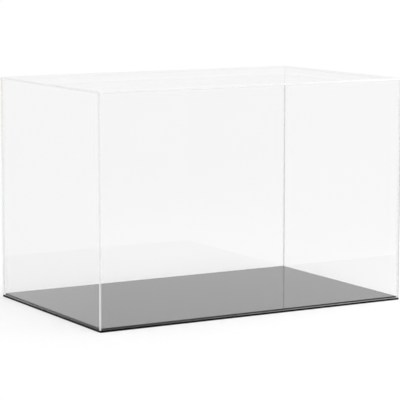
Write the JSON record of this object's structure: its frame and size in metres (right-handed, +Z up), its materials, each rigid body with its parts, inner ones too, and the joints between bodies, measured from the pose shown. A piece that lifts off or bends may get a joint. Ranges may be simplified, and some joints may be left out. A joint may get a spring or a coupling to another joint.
{
  "type": "football display case",
  "caption": "Clear rectangular display case for a football: a five-sided transparent cover that lifts straight up off a black gloss stepped base.",
  "frame": {"origin": "middle of the underside of the bottom plate", "axes": "+X to the right along the case's length, +Y to the back, +Z up"},
  "size_m": [0.36, 0.23, 0.238],
  "materials": {
    "black_acrylic": "polished",
    "clear_acrylic": "polished"
  },
  "bodies": {
    "base": {"base_plate": "black_acrylic", "raised_plate": "black_acrylic"},
    "cover": {"front_panel": "clear_acrylic", "back_panel": "clear_acrylic", "left_panel": "clear_acrylic", "right_panel": "clear_acrylic", "top_panel": "clear_acrylic"}
  },
  "joints": [
    {"name": "cover_lift", "type": "slide", "parent": "base", "child": "cover", "axis": [0, 0, 1], "range_m": [0, 0.24]}
  ]
}
